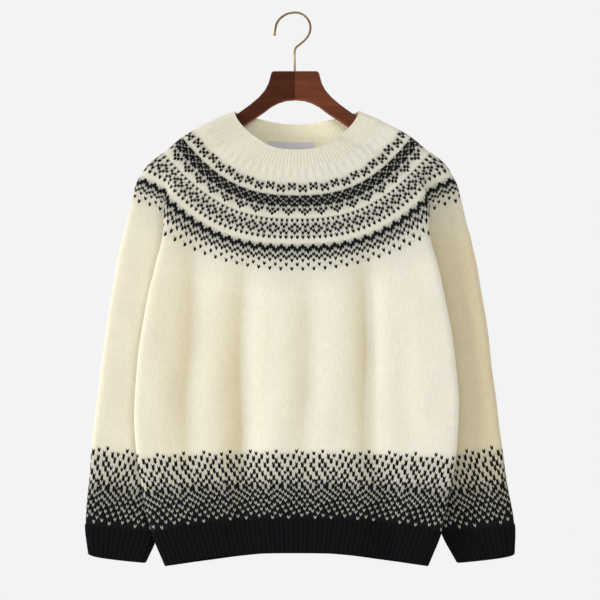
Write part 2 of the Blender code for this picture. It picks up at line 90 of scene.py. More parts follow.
Round = namedtuple(
    "Round",
    "drop xEdge zEdge power xFold zFold sag xOuter zOuter zBack"
    " yFront yEdge yUnder ySleeve yRear yBack",
)
yokeTable = [Round(*row) for row in (
    (180.2, 42.0, -172.0, 2.8, 57.0, -162.0, 0.62, 82.5, -129.0, -146.2, -20, -18, -17, -12, 9, 16),
    (200.6, 68.0, -184.0, 2.6, 83.0, -173.2, 0.78, 110.9, -141.2, -168.0, -23, -20, -18, -14, 8, 16),
    (231.7, 103.0, -201.0, 2.6, 118.0, -187.9, 0.9, 143.9, -158.4, -200.6, -25, -21, -19, -16, 6, 16),
    (250.8, 122.0, -209.3, 2.6, 134.0, -197.9, 0.9, 158.4, -169.0, -221.1, -26, -22, -20, -17, 5, 16),
    (265.3, 140.0, -213.7, 2.6, 150.0, -204.0, 1.0, 170.3, -179.5, -236.3, -26, -22, -20, -18, 4, 16),
    (287.8, 162.0, -221.5, 2.6, 172.0, -211.0, 1.1, 194.7, -198.0, -260.0, -26, -22, -18, -16, 4, 16),
    (312.4, 174.9, -246.2, 2.6, 158.9, -250.8, 1.5, 211.2, -223.1, -286.4, -26, -21, -13, -7, 9, 16),
    (339.2, 176.9, -291.7, 2.2, 136.9, -286.4, 1.6, 218.5, -248.2, -315.5, -25, -19, -8, -1, 15, 16),
    (373.6, 186.1, -328.7, 2.0, 109.7, -333.8, 1.6, 231.0, -294.4, -355.1, -24, -17, -5, 2, 18, 15),
)]
Course = namedtuple(
    "Course",
    "drop xEdge zEdge power xFold step zStep zBack yFront yEdge yUnder yStep yBack",
)
bodyTable = [Course(*row) for row in (
    (373.6, 186.1, -328.7, 2.0, 109.7, 0, -338.9, -355.1, -24, -17, -5, 17.1, 15),
    (405.2, 198.0, -378.8, 2.0, 116.5, 10, -385.0, -389.4, -23, -16, -5, 15, 14),
    (444.8, 207.2, -431.6, 2.0, 131.5, 20, -436.0, -434.3, -22, -15, -5, 12.5, 12),
    (510.8, 215.2, -510.8, 2.0, 143.5, 30, -509.0, -506.9, -21, -15, -4.5, 10, 10),
    (576.8, 211.9, -583.4, 2.4, 156.0, 36, -578.0, -574.2, -20, -14.5, -4, 9, 9),
    (629.6, 202.0, -641.5, 2.6, 160.0, 40, -634.0, -628.3, -19.5, -14, -4, 8, 8),
    (667.9, 192.0, -685.1, 2.6, 158.0, 40, -676.0, -667.9, -19, -14, -4, 7.5, 7),
    (713.6, 173.6, -731.3, 2.6, 142.0, 38, -722.0, -713.6, -18, -13, -4, 6.5, 6),
)]
Sleeve = namedtuple("Sleeve", "drop xInner xOuter zOuter sag tuck yFront yBack")
sleeveTable = [Sleeve(*row) for row in (
    (336.4, 109.7, 231.0, -294.4, 1.6, 2.6, 2, 18),
    (376.2, 120.8, 241.6, -345.8, 1.4, 2, 2, 18),
    (444.8, 136.0, 253.4, -421.0, 1.2, 1, 2, 18),
    (510.8, 147.8, 262.0, -491.0, 1.1, 0, 2, 18),
    (576.8, 161.0, 270.6, -561.0, 1.0, 0, 2, 18),
    (629.6, 172.9, 274.6, -616.4, 0.9, 0, 2, 18),
    (686.4, 182.8, 279.8, -675.2, 0.7, 0, 2, 19),
    (727.5, 200.5, 275.5, -716.5, 0.6, 0, 2, 18),
)]
neckTop, neckBottom, underarm = 180.2, 200.6, 373.6
hemTop, hemBottom = 667.9, 713.6
sleeveTop, cuffTop, cuffBottom = 336.4, 686.4, 727.5

# Soft troughs: where each one's middle starts and ends, how wide and how deep it is.
# Right of the middle a trough comes back out steep times as fast as it went in. The small ones
# are the scene's own, and the first three of the front are a little gentler than the solids'.
Fold = namedtuple("Fold", "xTop zTop xBottom zBottom width depth steep")
frontFolds = [Fold(*row) for row in (
    (-127, -262, -137, -640, 31, 5.9, 1.1),
    (-60, -322, -66, -738, 31, 7.8, 1.7),
    (25, -330, 20, -640, 26, 4.0, 1.1),
    (100, -312, 104, -625, 26, 5.2, 2.8),
    (102, -285, 110, -735, 15, 3.0, 0.25),
    (120, -575, 127, -738, 13, 3.2, 1.0),
    (-166, -320, -174, -480, 10, 1.2, 1.0),
    (-26, -350, -34, -560, 15, 1.0, 1.0),
    (64, -430, 58, -700, 15, 1.0, 1.0),
    (146, -390, 150, -600, 14, 1.2, 1.3),
    (-118, -600, -126, -738, 12, 1.8, 1.3),
    (-20, -600, -26, -738, 15, 1.5, 1.2),
)]
backFolds = [Fold(*row) for row in (
    (-98, -350, -110, -640, 15, 1.8, 1.0),
    (-60, -320, -74, -735, 22, 4.4, 1.3),
    (-22, -380, -30, -690, 15, 1.3, 1.0),
    (20, -390, 14, -735, 23, 3.2, 0.8),
    (54, -460, 58, -730, 14, 1.5, 1.0),
    (84, -330, 92, -705, 20, 4.3, 0.8),
    (122, -380, 116, -620, 14, 1.6, 1.0),
)]
sleeveFolds = [Fold(*row) for row in (
    (160, -330, 176, -520, 11, 1.8, 1.4),
    (205, -300, 214, -450, 12, 1.6, 1.3),
    (186, -470, 214, -640, 12, 2.0, 1.4),
    (222, -520, 246, -700, 10, 1.4, 1.2),
)]
foldPower, foldEase = 1.5, 0.6


def rowAt(table, drop):
    # the table's row at any drop, smooth between its rows
    drops = [row[0] for row in table]
    upper = sum(1 for value in drops[1:-1] if value <= drop)
    span = drops[upper + 1] - drops[upper]
    along = (drop - drops[upper]) / span
    values = []
    for column in zip(*table):
        slopes = []
        for place in (upper, upper + 1):
            before = max(place - 1, 0)
            after = min(place + 1, len(table) - 1)
            slopes.append((column[after] - column[before]) / (drops[after] - drops[before]))
        rise = column[upper + 1] - column[upper]
        first, second = span * slopes[0], span * slopes[1]
        values.append(
            column[upper]
            + first * along
            + (3 * rise - 2 * first - second) * along**2
            + (first + second - 2 * rise) * along**3
        )
    return type(table[0])(*values)


def trough(folds, x, z, sharper=1.0):
    # how far the soft folds push the cloth back at these places; sharper narrows their right sides
    depth = np.zeros_like(x)
    for fold in folds:
        down = np.clip((fold.zTop - z) / (fold.zTop - fold.zBottom), 0.0, 1.0)
        middle = fold.xTop + (fold.xBottom - fold.xTop) * down
        wander = 2.2 * np.sin(z / 41.0 + fold.xTop)
        across = (x - middle - wander) / fold.width
        across = np.where(across > 0, across * fold.steep * sharper, -across)
        depth += fold.depth * np.sin(math.pi * down) ** foldEase * np.exp(-(across**foldPower))
    return depth


def steps(count):
    return np.arange(count) / count


def frontLine(row, zFront, side):
    share = steps(cloth["frontSteps"] * cloth["fine"])
    x = side * row.xEdge * share
    y = row.yFront + (row.yEdge - row.yFront) * share**2
    z = row.zEdge + (zFront - row.zEdge) * (1 - share**row.power)
    y = y + trough(frontFolds, x, z) * (1 - share**8)
    return np.stack([x, y, z], axis=1)


def backLine(xTurn, yTurn, zTurn, row, side, count):
    share = 1 - np.arange(count + 1) / count
    x = side * xTurn * share
    y = row.yBack + (yTurn - row.yBack) * share**2
    z = row.zBack + (zTurn - row.zBack) * share**2
    y = y - trough(backFolds, x, z) * (1 - share**6)
    return np.stack([x, y, z], axis=1)


def straight(start, end, count):
    start, end = np.array(start, float), np.array(end, float)
    return start + (end - start) * steps(count)[:, None]


def sleeveLine(start, end, sag, count):
    line = straight(start, end, count)
    line[:, 2] = end[2] + (start[2] - end[2]) * (1 - steps(count)) ** sag
    return line


def rearLine(start, end, count):
    line = straight(start, end, count)
    line[:, 2] = start[2] + (end[2] - start[2]) * steps(count) ** 0.85
    return line


def yokeHalf(drop, side):
    row = rowAt(yokeTable, drop)
    n = cloth["fine"]
    edge = (side * row.xEdge, row.yEdge, row.zEdge)
    edgeUnder = (side * row.xEdge, row.yUnder, row.zEdge)
    fold = (side * row.xFold, row.yUnder, row.zFold)
    if row.xFold > row.xEdge:
        lead = (row.xFold - row.xEdge) / 3
        edgeUnder = (side * (row.xEdge + lead), row.yUnder, row.zEdge * 0.67 + row.zFold * 0.33)
        fold = (side * (row.xEdge + 2 * lead), row.yUnder, row.zEdge * 0.33 + row.zFold * 0.67)
    sleeve = (side * row.xFold, row.ySleeve, row.zFold)
    outer = (side * row.xOuter, row.ySleeve, row.zOuter)
    outerBack = (side * row.xOuter, row.yRear, row.zOuter)
    xTurn = cloth["turnShare"] * row.xOuter
    yTurn = row.yRear + (row.yBack - row.yRear) * 0.3
    zTurn = row.zOuter + cloth["turnLift"] * (row.zBack - row.zOuter)
    return np.vstack([
        frontLine(row, -drop, side),
        straight(edge, edgeUnder, 2 * n),
        straight(edgeUnder, fold, 3 * n),
        straight(fold, sleeve, 2 * n),
        sleeveLine(sleeve, outer, row.sag, 5 * n),
        straight(outer, outerBack, 3 * n),
        rearLine(outerBack, (side * xTurn, yTurn, zTurn), 5 * n),
        backLine(xTurn, yTurn, zTurn, row, side, 5 * n),
    ])


def bodyHalf(drop, side):
    row = rowAt(bodyTable, drop)
    n = cloth["fine"]
    slack = max(0.0, 1 - (drop - underarm) / 30)
    xFold = row.xFold - cloth["gussetPart"]
    xStep = xFold - row.step
    edge = (side * row.xEdge, row.yEdge, row.zEdge)
    edgeUnder = (side * row.xEdge, row.yUnder, row.zEdge)
    fold = (side * xFold, row.yUnder, (row.zEdge + row.zStep) / 2)
    turn = (side * xStep, row.yStep, row.zStep)
    middle = [(a + b) / 2 for a, b in zip(fold, turn)]
    middle[2] -= cloth["gussetDip"] * slack
    return np.vstack([
        frontLine(row, -drop, side),
        straight(edge, edgeUnder, 2 * n),
        straight(edgeUnder, fold, 4 * n),
        straight(fold, middle, 2 * n),
        straight(middle, turn, 2 * n),
        backLine(xStep, row.yStep, row.zStep, row, side, 6 * n),
    ])


def sleeveLoop(drop, side):
    row = rowAt(sleeveTable, drop)
    n = cloth["fine"]
    swing = 0.0
    if side > 0 and drop > cloth["swingFrom"]:
        share = (drop - cloth["swingFrom"]) / (cloth["swingTo"] - cloth["swingFrom"])
        swing = cloth["swing"] * share**1.3
    slack = max(0.0, 1 - (drop - sleeveTop) / 30)
    xInner = row.xInner + cloth["gussetPart"] + swing
    xOuter = row.xOuter + swing
    front = (side * xInner, row.yFront, -drop + row.tuck)
    outer = (side * xOuter, row.yFront, row.zOuter)
    outerBack = (side * xOuter, row.yBack, row.zOuter)
    back = (side * xInner, row.yBack, -drop - row.tuck)
    middle = [(a + b) / 2 for a, b in zip(front, back)]
    middle[2] -= cloth["gussetDip"] * slack
    face = sleeveLine(front, outer, row.sag, 6 * n)
    rear = rearLine(outerBack, back, 6 * n)
    hollow = cloth["sleeveHollow"] * np.sin(math.pi * steps(6 * n))
    face[:, 1] += hollow * trough(sleeveFolds, np.abs(face[:, 0]), face[:, 2])
    rear[:, 1] -= hollow * trough(sleeveFolds, np.abs(rear[:, 0]), rear[:, 2])
    points = np.vstack([
        face,
        straight(outer, outerBack, 3 * n),
        rear,
        straight(back, middle, 2 * n),
        straight(middle, front, 2 * n),
    ])
    return np.vstack([points[:1], points[:0:-1]]) if side < 0 else points


def soften(points):
    # a closed line, in metres, with its corners rounded as thick cloth rounds them
    line = points * mm
    line[:, 0] += cloth["middleX"]
    ahead = np.linalg.norm(np.roll(line, -1, axis=0) - line, axis=1)
    share = (ahead + np.roll(ahead, 1)) / 2
    place = np.concatenate([[0.0], np.cumsum(ahead)[:-1]])
    apart = np.abs(place[:, None] - place[None, :])
    apart = np.minimum(apart, ahead.sum() - apart)
    weight = np.exp(-0.5 * (apart / cloth["bend"]) ** 2) * share[None, :]
    return weight @ line / weight.sum(axis=1)[:, None]


def yokeRound(drop):
    left = yokeHalf(drop, -1)
    return soften(np.vstack([yokeHalf(drop, 1), left[-2:0:-1]]))


def bodyRound(drop):
    left = bodyHalf(drop, -1)
    return soften(np.vstack([bodyHalf(drop, 1), left[-2:0:-1]]))


def leftSleeve(drop):
    return soften(sleeveLoop(drop, -1))


def rightSleeve(drop):
    return soften(sleeveLoop(drop, 1))


def lengthOf(line):
    return np.linalg.norm(np.roll(line, -1, axis=0) - line, axis=1).sum()


def placesAlong(line):
    # a closed line with its first point again at the end, and how far along each point is
    closed = np.vstack([line, line[:1]])
    return closed, np.concatenate([[0.0], np.cumsum(np.linalg.norm(np.diff(closed, axis=0), axis=1))])


def evenly(line, count):
    # a closed line's points at even distances, the first one kept
    closed, place = placesAlong(line)
    wanted = np.arange(count) * place[-1] / count
    return np.stack([np.interp(wanted, place, closed[:, axis]) for axis in range(3)], axis=1)


def yokeWales(drop):
    # how far round each point of a yoke round is for the stitches: the part that is hidden
    # behind the front's edge counts little, and the sleeve's outer side is always at one wale
    line = yokeRound(drop)
    half, n = len(line) // 2, cloth["fine"]
    edge = rowAt(yokeTable, drop).xEdge * mm
    length = np.linalg.norm(np.roll(line, -1, axis=0) - line, axis=1)[:half]
    number = np.arange(half)
    within = (number >= cloth["frontSteps"] * n) & (number < cloth["sideStep"] * n)
    behind = within & (line[:half, 0] - cloth["middleX"] < edge - 2 * mm)
    length = np.where(behind, length * cloth["hiddenShare"], length)
    far = np.concatenate([[0.0], np.cumsum(length)])
    outer = (cloth["sideStep"] + 1) * n
    turn = np.interp(far, [0, far[outer], far[-1]], [0, cloth["outerWale"], 0.5])
    return np.concatenate([turn, 1 - turn[-2::-1]]), far[outer]


def ringsOf(surface, top, bottom, levels, count):
    # rings of points at even distances, and how far round each point is for the stitches
    drops = np.linspace(top, bottom, levels)
    rings = np.array([evenly(surface(drop), count) for drop in drops])
    turns = np.tile(np.arange(count + 1) / count, (levels, 1))
    if surface is yokeRound:
        for level, drop in enumerate(drops):
            _, place = placesAlong(yokeRound(drop))
            turns[level] = np.interp(turns[level] * place[-1], place, yokeWales(drop)[0])
    return drops, rings, turns


def outOf(rings):
    # the direction out of the cloth at each point of the rings
    around = np.roll(rings, -1, axis=1) - np.roll(rings, 1, axis=1)
    down = np.gradient(rings, axis=0)
    out = np.cross(down, around)
    return out / np.linalg.norm(out, axis=2)[:, :, None]


def facesFront(rings):
    return outOf(rings)[:, :, 1] < 0


def unevenness(rings, drops, height, fade):
    # slight waviness of cloth that hangs, the same each run, which fades out at both ends
    x, y, z = rings[:, :, 0] / mm, rings[:, :, 1] / mm, rings[:, :, 2] / mm
    wave = np.sin(x / 17.0 + np.sin(z / 29.0) * 1.7) * np.sin(z / 47.0 + x / 61.0)
    wave += 0.6 * np.sin(x / 9.1 - z / 83.0 + y / 11.0) * np.sin(z / 23.0 + 1.3)
    wave += 0.4 * np.sin(z / 13.0 + x / 37.0 + y / 5.0)
    ends = np.clip((drops - drops[0]) / fade[0], 0, 1) * np.clip((drops[-1] - drops) / fade[1], 0, 1)
    return wave * height * ends[:, None]


def sign(operation, turned=False):
    # what a sign between two shader values does, turned where a plain number stands on its left
    def act(self, other):
        pair = (other, self) if turned else (self, other)
        return self.maker.add("Math", {"operation": operation}, dict(enumerate(pair)))

    return act


class Flow:
    # a shader value that can be used in sums
    def __init__(self, maker, socket):
        self.maker = maker
        self.socket = socket

    def sum(self, operation, *others):
        return self.maker.add("Math", {"operation": operation}, dict(enumerate((self, *others))))

    __add__ = __radd__ = sign("ADD")
    __mul__ = __rmul__ = sign("MULTIPLY")
    __sub__ = sign("SUBTRACT")
    __rsub__ = sign("SUBTRACT", True)
    __rpow__ = sign("POWER", True)
    __truediv__ = sign("DIVIDE")
    __mod__ = sign("FLOORED_MODULO")
    __gt__ = sign("GREATER_THAN")


class Finish:
    # one material or world, and the nodes that feed its shader
    def __init__(self, owner, shader, **sockets):
        owner.use_nodes = True
        self.material = owner
        self.tree = owner.node_tree
        self.shader = self.tree.nodes[shader]
        self.set(**sockets)

    def set(self, **sockets):
        for key, value in sockets.items():
            self.feed(self.shader.inputs[key.replace("_", " ")], value)

    def feed(self, socket, value):
        if isinstance(value, Flow):
            self.tree.links.new(value.socket, socket)
        else:
            socket.default_value = value

    def add(self, kind, settings=None, sockets=None, out=0):
        node = self.tree.nodes.new("ShaderNode" + kind)
        for key, value in (settings or {}).items():
            setattr(node, key, value)
        for key, value in (sockets or {}).items():
            self.feed(node.inputs[key], value)
        return Flow(self, node.outputs[out])

    def mix(self, share, first, second, blend="MIX"):
        # the colours are flows or plain triples
        pair = [colour if isinstance(colour, Flow) else (*colour, 1) for colour in (first, second)]
        settings = {"data_type": "RGBA", "blend_type": blend}
        return self.add("Mix", settings, {0: share, 6: pair[0], 7: pair[1]}, 2)

    def dim(self, colour, tone):
        # a colour times one number
        grey = self.add("CombineColor", None, {0: tone, 1: tone, 2: tone})
        return self.mix(1.0, colour, grey, "MULTIPLY")

    def split(self, kind, value):
        # the three parts of a vector or a colour
        first = self.add("Separate" + kind, None, {0: value})
        return [Flow(self, first.socket.node.outputs[part]) for part in range(3)]

    def between(self, value, low, high, least, most):
        # least where the value is low, and most where it is high
        return self.add("MapRange", None, {0: value, 1: low, 2: high, 3: least, 4: most})

    def vary(self, scale, detail, stretch=None):
        # noise in the object's own space, finer the larger the scale
        where = self.add("TexCoord", out=3)
        if stretch:
            where = self.add("VectorMath", {"operation": "MULTIPLY"}, {0: where, 1: stretch})
        return self.add("TexNoise", None, {"Vector": where, "Scale": scale, "Detail": detail})

    def bump(self, height, distance, strength, under=None):
        sockets = {"Height": height, "Distance": distance, "Strength": strength}
        if under is not None:
            sockets["Normal"] = under
        return self.add("Bump", None, sockets)


def surfaceFinish(name, colour, **sockets):
    material = bpy.data.materials.new(name)
    material.diffuse_color = (*colour, 1)
    return Finish(material, "Principled BSDF", Base_Color=(*colour, 1), **sockets)


# The colourwork from the top down. D is a dark stitch.
crosses = ["D.D.....", ".D..D.D.", "D.D..D..", "....D.D."]
lattice = ["DDD.", ".D.D", "D.DD", ".D.D", "DDD."]
triangles = ["D.D.D.", ".D.D..", "..D..."]
diamonds = [
    ".D.D.D.D",
    "........",
    "D..D.D..",
    ".D..D..D",
    "..D...D.",
    ".D..D..D",
    "D..D.D..",
    "........",
    ".D.D.D.D",
]
zigzag = ["D...", "DD.D", ".DDD", "..D."]
thinZigzag = ["D...", ".D.D", "..D."]
lastDots = ["D...", "....", "..D.", "....", "D..."]
yokeBands = [
    # plain rounds before the chart, the chart, and by how many stitches it is shifted round
    (9, crosses, 3.2),
    (2, lattice, 2.2),
    (1, triangles, 5.4),
    (2, diamonds, 1.2),
    (3, zigzag + thinZigzag + lastDots, 2.2),
]
# scattered stitches that get denser down to the black, each row about as dark as the wool is there
speckle = [
    "D........D......",
    "..D...D.........",
    "....D...D..D.D.D",
    ".D..D...D..D...D",
    ".D.D..D..D..D...",
    "...D..D..D..D.D.",
    "D.D..D..D.D...D.",
    "D.D..D..D.D.....",
    "...D..D..D.D.D.D",
    ".D.D..D..D...D..",
    ".D..D..D..D.D.D.",
    "D.D.D..D..D...D.",
    "D.D..D..D..D.D..",
    ".D...D..D..D.D.D",
    ".D.D..DD.D..D.D.",
    "D.D.D..D.D.D..D.",
    "D.D..D..D.DD.D.D",
    "D.DD.D.DD.DD.DD.",
    ".D.DD.DD.D.DD.DD",
    "DDD.D.D.DDD.DD.D",
    "D.DDDD.DD.DD.DD.",
    "DD.D.DDD.D.DD.DD",
    ".DDDDDD.DDD.DD.D",
    "DDD.D.DDD.DD.DDD",
    "D.DDDD.DDD.DDDD.",
    "DD.D.DDD.DDDD.DD",
    ".DDDDDD.DDD.DDDD",
    "DDD.D.DDD.DDDD.D",
    "D.DDDD.DDDDD.DDD",
    "DDDD.DDD.DDDDDD.",
    "DD.DDDDDDD.DDDDD",
    "DDDDDDD.DDDDD.DD",
]


def codeOf(row):
    # a chart row as one number, a bit for each stitch
    return sum(2**place for place, mark in enumerate(row) if mark == "D")


def rowRamps(finish, course, values):
    # looks a course's values up in ramps, some of them in each
    many = packed["steps"]
    found = None
    for part in range(0, len(values), many):
        some = values[part : part + many]
        ramp = finish.add("ValToRGB", None, {"Fac": (course - part + 0.5) / many})
        colours = ramp.socket.node.color_ramp
        colours.interpolation = "CONSTANT"
        while len(colours.elements) < len(some):
            colours.elements.new(1.0)
        for place, (element, value) in enumerate(zip(colours.elements, some)):
            element.position = place / many
            element.color = (*value, 1)
        found = ramp if found is None else finish.mix(course > part - 0.5, found, ramp)
    return found


knitting = {
    "rows": 64,  # rows that a chart is filled up to
    "manyDark": 8,  # a row with more dark stitches is a dark round
    "plainBefore": 28,  # plain rounds looked up before the speckles
    "speckleShift": 0.5,
    "slope": 0.85,  # how far a stitch's legs rise, in courses
    "spread": 0.55,  # how far a stitch covers the one above it, in courses
    "fray": 0.42,  # how ragged the edges of the colours are, in stitches
    "relief": 0.8 * mm,
    "fibres": 2200,
    "hairs": (640, 640, 130),
    "patches": 38,
    "soft": 7,
    "tone": (0.06, 0.22, 0.08, 0.76),  # brighter by height, which paints shade into the grooves between stitches, by hairs and fibres, and the least
    "wool": (0.88, 0.855, 0.735),
    "woolShade": (0.82, 0.76, 0.58),
    "warm": (0.71, 0.62, 0.40),  # painted shade: the darker, yellower wool of the troughs and shaded sides
    # painted light: a lighter, yellower wool for the cloth's inside, which lies in shade
    "inside": (0.98, 0.915, 0.69),
    "veil": (0.14, 0.15, 0.17),  # the dark the light stitches are darkened towards, by dark hairs lying over them and by the yoke's even darkening
    "veilShare": 1.4,
    "veilPower": 1.27,
    "veilNear": (0.1, 0.2, 0.4, 0.2, 0.1),
    "veilMost": 0.66,
    "black": (0.0030, 0.0036, 0.0046),
    "blackFuzz": (0.011, 0.012, 0.0135),
}
# how numbers are packed into the ramps' colours
packed = {"steps": 32, "bits": 16, "count": 1024, "shift": 8, "guard": 0.02}


def stitchIsDark(finish, rows, column, course):
    # the chart's mark at one place, and whether light stitches stand out from a dark round there
    charted = []
    bits = packed["bits"]
    for line in rows:
        darkRound = line.count("D") > knitting["manyDark"]
        charted.append((codeOf(line) / 2**bits, len(line) / bits, float(darkRound)))
    ramps = rowRamps(finish, course.sum("FLOOR"), charted)
    code, repeat, lightOver = finish.split("Color", ramps)
    bit = (column % (repeat * bits)).sum("FLOOR")
    return ((code * 2**bits + packed["guard"]) / 2**bit).sum("FLOOR") % 2, lightOver


def veilOf(rows, least, most):
    # how far the light stitches of each row are darkened: evenly by least, and more by the dark share
    # of the rows near it, where dark hairs cover them
    shares = [row.count("D") / len(row) for row in rows]
    shares = [shares[0]] * 2 + shares + [shares[-1]] * 2
    near = np.convolve(shares, knitting["veilNear"], "valid")
    return np.minimum(least + near ** knitting["veilPower"] * knitting["veilShare"], most)


def knitFinish(name, rows, counts, shifts, dark=False, least=0.0, most=knitting["veilMost"]):
    # stocking stitch with its colourwork; rows, stitch counts and shifts run from the top course
    k = knitting
    finish = surfaceFinish(name, k["black"] if dark else k["wool"], Roughness=0.92)
    finish.set(Sheen_Weight=0.0 if dark else 0.1, Sheen_Roughness=0.5, Specular_IOR_Level=0.06)
    place = finish.add("Attribute", {"attribute_name": "knit"}, None, 1)
    around, course, paintedShade = finish.split("XYZ", place)
    gauge = []
    for count, shift, veil in zip(counts, shifts, veilOf(rows, least, most)):
        gauge.append((count / packed["count"], shift / packed["shift"], veil))
    ramps = rowRamps(finish, (course + 0.5).sum("FLOOR"), gauge)
    count, shift, veil = finish.split("Color", ramps)
    column = around * (count * packed["count"]) + shift * packed["shift"]
    leg = (column.sum("FRACT") * 2 - 1).sum("ABSOLUTE")
    lifted = course + leg * k["slope"] - k["slope"] / 2
    cross = (leg * 2 - 1).sum("ABSOLUTE")
    yarn = (1 - cross * cross).sum("SQRT")
    rise = (lifted.sum("FRACT") * math.pi).sum("SINE")
    height = yarn * (rise * 0.45 + 0.55)
    fibres = finish.vary(k["fibres"], 2)
    hairs = finish.vary(1.0, 2, k["hairs"])
    patches = finish.vary(k["patches"], 2)
    soft = finish.vary(k["soft"], 1)
    wool = finish.mix(patches * 0.2 + soft * 0.1, k["wool"], k["woolShade"])
    # painted shade: a darker, yellower wool, less of it where the veil darkens already
    wool = finish.mix(paintedShade * (1 - veil), wool, k["warm"])
    wool = finish.mix(veil, wool, k["veil"], "MULTIPLY")
    # painted light: the cloth's inside is painted lighter
    wool = finish.mix(paintedShade > paintedShading["insideFrom"], wool, k["inside"])
    black = finish.mix(fibres * hairs, k["black"], k["blackFuzz"])
    shade = black if dark else wool
    if not dark and any("D" in line for line in rows):
        ragged = column + (hairs - 0.5) * k["fray"]
        frayed = lifted + (fibres - 0.5) * k["fray"] * 1.6
        here, lightOver = stitchIsDark(finish, rows, ragged, frayed)
        below, _ = stitchIsDark(finish, rows, ragged, frayed + k["spread"])
        over = here.sum("MAXIMUM", below * (1 - lightOver))
        shade = finish.mix(over, wool, black)
    # painted shade: the wool is darker where the stitches are low, in the grooves between them
    grooveShadeWeight, byHairs, byFibres, always = k["tone"]
    tone = height * grooveShadeWeight + hairs * byHairs + fibres * byFibres + always
    fluff = finish.bump(fibres * 0.5 + hairs * 0.5, 0.35 * mm, 0.5)
    stitches = finish.bump(height, k["relief"], 0.3 if dark else 0.2, fluff)
    finish.set(Base_Color=finish.dim(shade, tone), Normal=stitches)
    return finish.material


def addObject(name, data):
    made = bpy.data.objects.new(name, data)
    bpy.context.scene.collection.objects.link(made)
    return made


def addMesh(name, vertices, faces, material, sharp=None, corners=None):
    mesh = bpy.data.meshes.new(name)
    mesh.from_pydata(vertices, [], faces)
    mesh.materials.append(material)
    if corners is not None:
        knit = mesh.attributes.new("knit", "FLOAT_VECTOR", "CORNER")
        knit.data.foreach_set("vector", corners.astype(np.float32).ravel())
    mesh.shade_smooth()
    if sharp:
        mesh.set_sharp_from_angle(angle=math.radians(sharp))
    return addObject(name, mesh)


def addBar(name, sections, material, sharp, flip=False):
    # a solid bar through sections of points, closed at both ends
    count = len(sections[0])
    last = count * (len(sections) - 1)
    faces = []
    for start in range(0, last, count):
        for place in range(count):
            a, b = start + place, start + (place + 1) % count
            faces.append((a, b, b + count, a + count))
    faces.append(tuple(range(count))[::-1])
    faces.append(tuple(range(last, last + count)))
    if flip:
        faces = [face[::-1] for face in faces]
    return addMesh(name, [point for section in sections for point in section], faces, material, sharp)


def paintedShadeOf(rings, least):
    # how much painted shade the wool gets: least on open cloth, and more in the troughs
    x = (rings[:, :, 0] - cloth["middleX"]) / mm + paintedShading["aside"]
    z = rings[:, :, 2] / mm
    front = trough(frontFolds, x, z, paintedShading["sharper"])
    back = trough(backFolds, x, z, paintedShading["sharper"])
    depth = np.where(facesFront(rings), front, back)
    return np.clip(least + depth / paintedShading["fullDepth"], 0, 1)


def bodyPaintedShade(rings):
    # painted shade on the body's front, growing towards its left; the back gets the plain amount
    left = (paintedShading["bodyEnd"] - rings[:, :, 0] / mm) / paintedShading["bodySpan"]
    return np.where(facesFront(rings), np.clip(left, 0.0, paintedShading["bodyMost"]), paintedShading["plain"])


def sleevePaintedShade(rings, side):
    # a sleeve's own painted shade starts below the shoulder, and fades round to the back
    front = np.clip(0.5 - outOf(rings)[:, :, 1], 0, 1)
    low = np.clip((-rings[:, :, 2] / mm - paintedShading["sleeveTop"]) / paintedShading["sleeveSpan"], 0, 1)
    wanted = paintedShading["behind"] + (paintedShading[side] - paintedShading["behind"]) * front
    least = bodyPaintedShade(rings)
    return least + (wanted - least) * low


def yokePaintedShade(rings):
    # the yoke's sleeve parts get as much painted shade as the sleeves below them
    x, y = rings[:, :, 0] / mm, rings[:, :, 1] / mm
    onFront = np.clip((y - paintedShading["frontFrom"]) / paintedShading["frontEase"], 0, 1)
    onBack = np.clip((np.abs(x) - paintedShading["backFrom"]) / paintedShading["backEase"], 0, 1)
    onSleeve = np.where(facesFront(rings), onFront, onBack)
    wanted = np.where(x < 0, sleevePaintedShade(rings, "left"), sleevePaintedShade(rings, "right"))
    least = bodyPaintedShade(rings)
    return least + (wanted - least) * onSleeve


